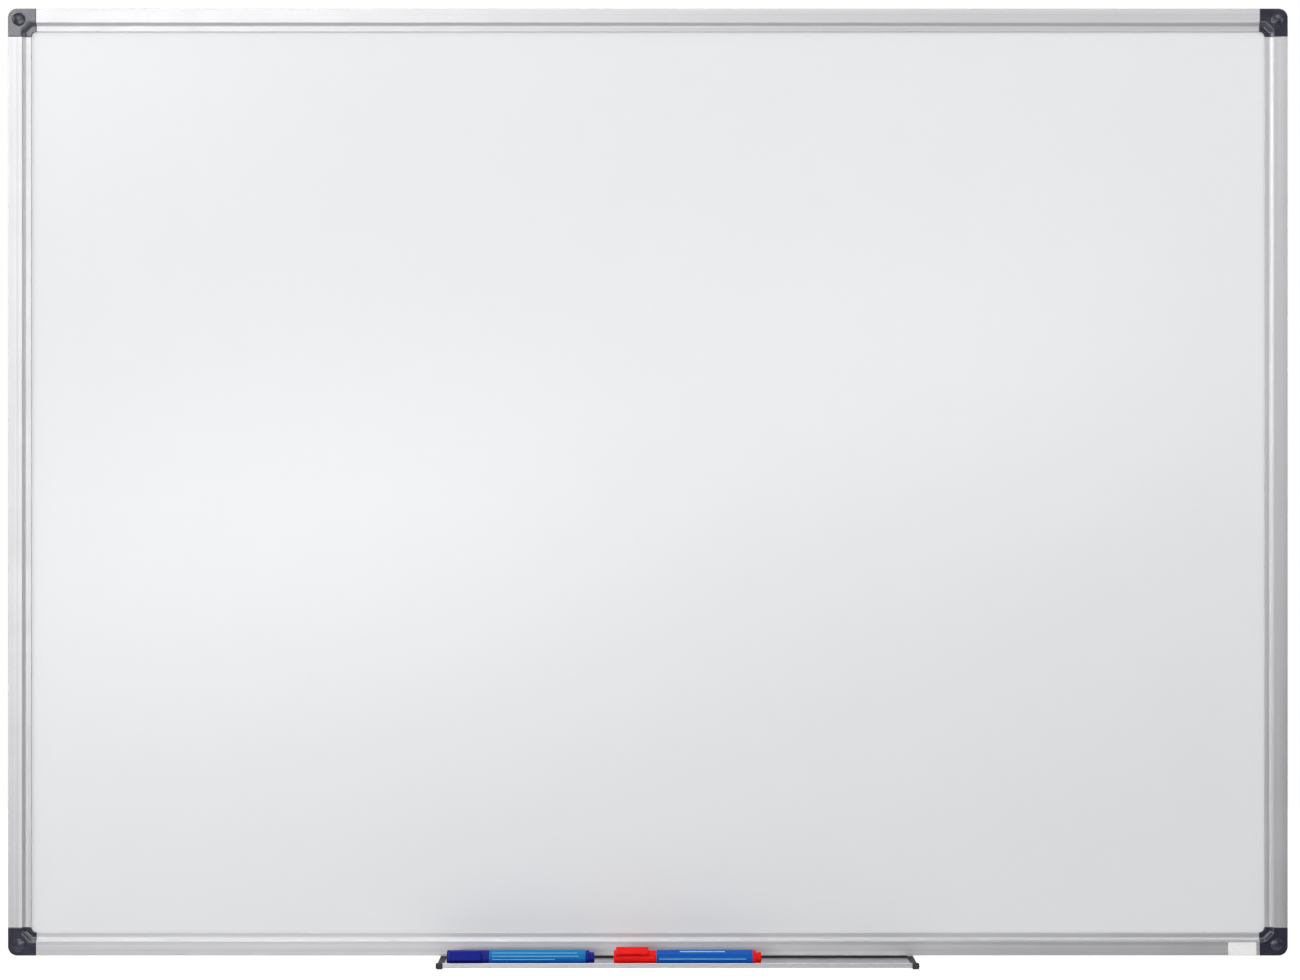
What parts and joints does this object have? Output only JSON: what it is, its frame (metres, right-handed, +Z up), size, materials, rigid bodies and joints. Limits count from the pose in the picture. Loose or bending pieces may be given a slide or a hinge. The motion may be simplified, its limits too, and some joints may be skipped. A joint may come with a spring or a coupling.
{
  "type": "magnetic whiteboard",
  "caption": "Wall-hung magnetic whiteboard with an aluminium frame, dark corner caps with screw covers, and a sliding pen tray that holds dry-wipe markers.",
  "frame": {"origin": "centre of the wall plane, at the middle of the frame's back", "axes": "+X to the right along the board's width, +Y into the wall, +Z up"},
  "size_m": [1.2, 0.0985, 0.8969],
  "materials": {
    "white_lacquer": "gloss",
    "honeycomb_board": "matte",
    "zinc_sheet": "satin",
    "anodised_aluminium": "satin",
    "anthracite_plastic": "satin",
    "dark_grey_plastic": "satin",
    "black_strip": "matte",
    "black_plastic": "satin",
    "zinc_screw": "satin",
    "blank_paper": "matte",
    "pale_plastic": "gloss",
    "blue_plastic": "gloss",
    "red_plastic": "gloss",
    "blue_label_film": "gloss",
    "ink_fibre": "matte",
    "blue_nib_felt": "matte",
    "red_nib_felt": "matte"
  },
  "bodies": {
    "root": {"writing_sheet": "white_lacquer", "core_board": "honeycomb_board", "back_sheet": "zinc_sheet", "top_rail": "anodised_aluminium", "bottom_rail": "anodised_aluminium", "left_rail": "anodised_aluminium", "right_rail": "anodised_aluminium", "corner_cap_top_left": "anthracite_plastic", "corner_cap_top_right": "anthracite_plastic", "corner_cap_bottom_left": "anthracite_plastic", "corner_cap_bottom_right": "anthracite_plastic", "wall_screw_top_left": "zinc_screw", "wall_screw_top_right": "zinc_screw", "wall_screw_bottom_left": "zinc_screw", "wall_screw_bottom_right": "zinc_screw", "top_rail_screw_left": "zinc_screw", "top_rail_screw_right": "zinc_screw", "bottom_rail_screw_left": "zinc_screw", "bottom_rail_screw_right": "zinc_screw", "left_rail_screw_bottom": "zinc_screw", "left_rail_screw_top": "zinc_screw", "right_rail_screw_bottom": "zinc_screw", "right_rail_screw_top": "zinc_screw", "blank_label": "blank_paper"},
    "tray": {"tray_profile": "anodised_aluminium", "tray_glide_strip": "black_strip", "tray_end_cap_left": "dark_grey_plastic", "tray_end_cap_right": "dark_grey_plastic", "tray_screw_left": "zinc_screw", "tray_screw_right": "zinc_screw"},
    "blue_barrel": {"blue_marker_barrel": "pale_plastic", "blue_marker_label_sleeve": "blue_label_film", "blue_marker_ink_reservoir": "ink_fibre", "blue_marker_tip_holder": "black_plastic", "blue_marker_nib": "blue_nib_felt", "blue_marker_tail_plug": "blue_plastic"},
    "blue_cap": {"blue_marker_cap": "blue_plastic"},
    "red_barrel": {"red_marker_barrel": "pale_plastic", "red_marker_label_sleeve": "blue_label_film", "red_marker_ink_reservoir": "ink_fibre", "red_marker_tip_holder": "black_plastic", "red_marker_nib": "red_nib_felt", "red_marker_tail_plug": "red_plastic"},
    "red_cap": {"red_marker_cap": "red_plastic"},
    "cover_top_left": {"screw_cover_top_left": "anthracite_plastic"},
    "cover_top_right": {"screw_cover_top_right": "anthracite_plastic"},
    "cover_bottom_left": {"screw_cover_bottom_left": "anthracite_plastic"},
    "cover_bottom_right": {"screw_cover_bottom_right": "anthracite_plastic"}
  },
  "joints": [
    {"name": "tray_slide", "type": "slide", "parent": "root", "child": "tray", "axis": [1, 0, 0], "range_m": [-0.384, 0.33]},
    {"name": "blue_marker_lift", "type": "slide", "parent": "tray", "child": "blue_barrel", "axis": [0, 0, 1], "range_m": [0, 0.12]},
    {"name": "blue_cap_pull", "type": "slide", "parent": "blue_barrel", "child": "blue_cap", "axis": [-1, 0, 0], "range_m": [0, 0.045]},
    {"name": "red_marker_lift", "type": "slide", "parent": "tray", "child": "red_cap", "axis": [0, 0, 1], "range_m": [0, 0.12]},
    {"name": "red_barrel_pull", "type": "slide", "parent": "red_cap", "child": "red_barrel", "axis": [1, 0, 0], "range_m": [0, 0.045]},
    {"name": "cover_pull_top_left", "type": "slide", "parent": "root", "child": "cover_top_left", "axis": [0, -1, 0], "range_m": [0, 0.015]},
    {"name": "cover_pull_top_right", "type": "slide", "parent": "root", "child": "cover_top_right", "axis": [0, -1, 0], "range_m": [0, 0.015]},
    {"name": "cover_pull_bottom_left", "type": "slide", "parent": "root", "child": "cover_bottom_left", "axis": [0, -1, 0], "range_m": [0, 0.015]},
    {"name": "cover_pull_bottom_right", "type": "slide", "parent": "root", "child": "cover_bottom_right", "axis": [0, -1, 0], "range_m": [0, 0.015]}
  ]
}
